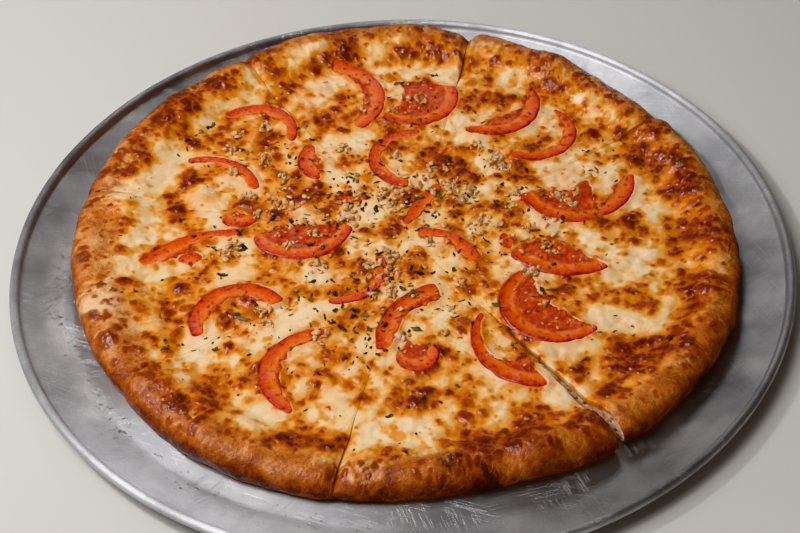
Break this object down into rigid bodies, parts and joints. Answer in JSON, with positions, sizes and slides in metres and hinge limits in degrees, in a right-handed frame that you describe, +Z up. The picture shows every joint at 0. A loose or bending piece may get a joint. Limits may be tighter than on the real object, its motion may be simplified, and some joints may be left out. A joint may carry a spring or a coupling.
{
  "type": "thin crust pizza on its pan",
  "caption": "Round baked pizza with a raised browned rim, cut into wedge slices, topped with cheese and tomato, lying on its shallow round metal pan.",
  "frame": {"origin": "middle of the pan's underside, on the surface that it rests on", "axes": "+Z up; -Y towards the front, where the pizza's crust stands closest to the viewer; +X to the right"},
  "size_m": [0.4064, 0.4064, 0.0209],
  "materials": {
    "pan": "worn bare sheet with fine scratches, light turning marks and a film of oil",
    "dough": "stands in for baked dough: golden brown crust, pale crumb where it is cut",
    "cheese": "stands in for melted cheese: cream and gold, blistered dark brown, oily",
    "tomato": "stands in for baked tomato: orange red flesh, darker glossy skin",
    "garlic": "stands in for minced baked garlic: translucent pale tan, moist",
    "herbs": "stands in for dried herb flakes: dark olive, dull",
    "oil": "stands in for drops of cooking oil: clear pale amber"
  },
  "bodies": {
    "root": {"pan": "pan", "dough_back_right": "dough", "dough_back": "dough", "dough_back_left": "dough", "dough_left": "dough", "dough_front_left": "dough", "dough_front": "dough", "dough_front_right": "dough", "dough_right": "dough", "cheese_back_right": "cheese", "cheese_back": "cheese", "cheese_back_left": "cheese", "cheese_left": "cheese", "cheese_front_left": "cheese", "cheese_front": "cheese", "cheese_front_right": "cheese", "cheese_right": "cheese", "tomato_01": "tomato", "tomato_02": "tomato", "tomato_03": "tomato", "tomato_04": "tomato", "tomato_05": "tomato", "tomato_06": "tomato", "tomato_07": "tomato", "tomato_08": "tomato", "tomato_09": "tomato", "tomato_10": "tomato", "tomato_11": "tomato", "tomato_12": "tomato", "tomato_13": "tomato", "tomato_14": "tomato", "tomato_15": "tomato", "tomato_16": "tomato", "tomato_17": "tomato", "tomato_18": "tomato", "tomato_19": "tomato", "tomato_20": "tomato", "tomato_21": "tomato", "tomato_22": "tomato", "tomato_23": "tomato", "tomato_24": "tomato", "tomato_25": "tomato", "tomato_26": "tomato"}
  },
  "joints": []
}
